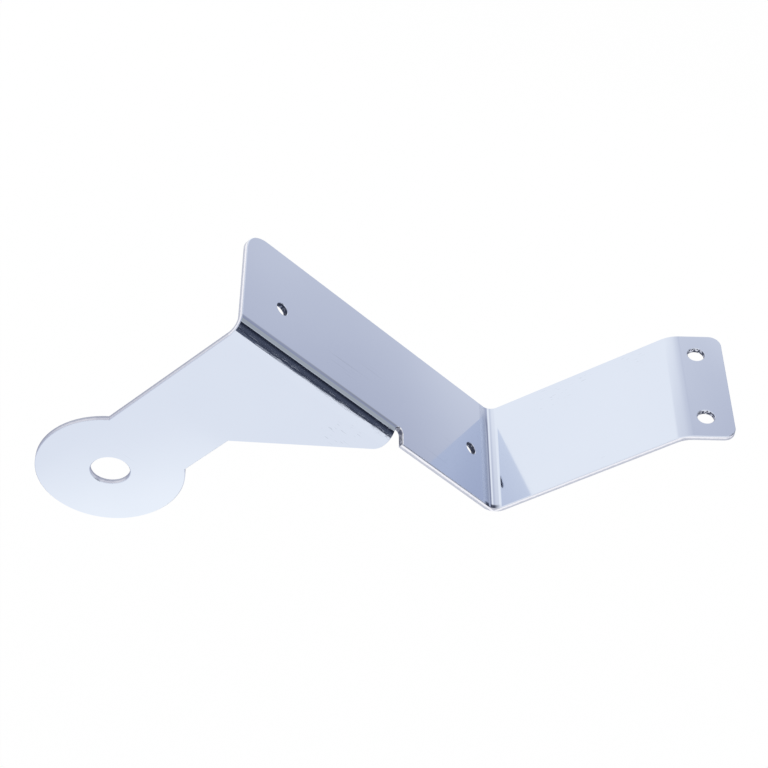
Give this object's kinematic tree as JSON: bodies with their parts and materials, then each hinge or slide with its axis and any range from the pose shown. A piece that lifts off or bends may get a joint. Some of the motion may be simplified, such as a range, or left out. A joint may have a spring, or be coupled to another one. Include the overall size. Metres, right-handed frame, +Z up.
{
  "type": "antenna bracket",
  "caption": "Folded sheet steel bracket: a holed upright plate with an angled wing and fixing tab, and a gusseted arm that ends in a round antenna seat.",
  "frame": {"origin": "centre of the antenna hole, on the arm's upper face", "axes": "+Z up along the antenna's axis, +Y from the upright plate out along the arm, +X towards the plate's free end"},
  "size_m": [0.1858, 0.2256, 0.0555],
  "materials": {
    "stainless": "bright polished sheet with deburred laser-cut edges"
  },
  "bodies": {
    "root": {"antenna_bracket": "stainless"}
  },
  "joints": []
}
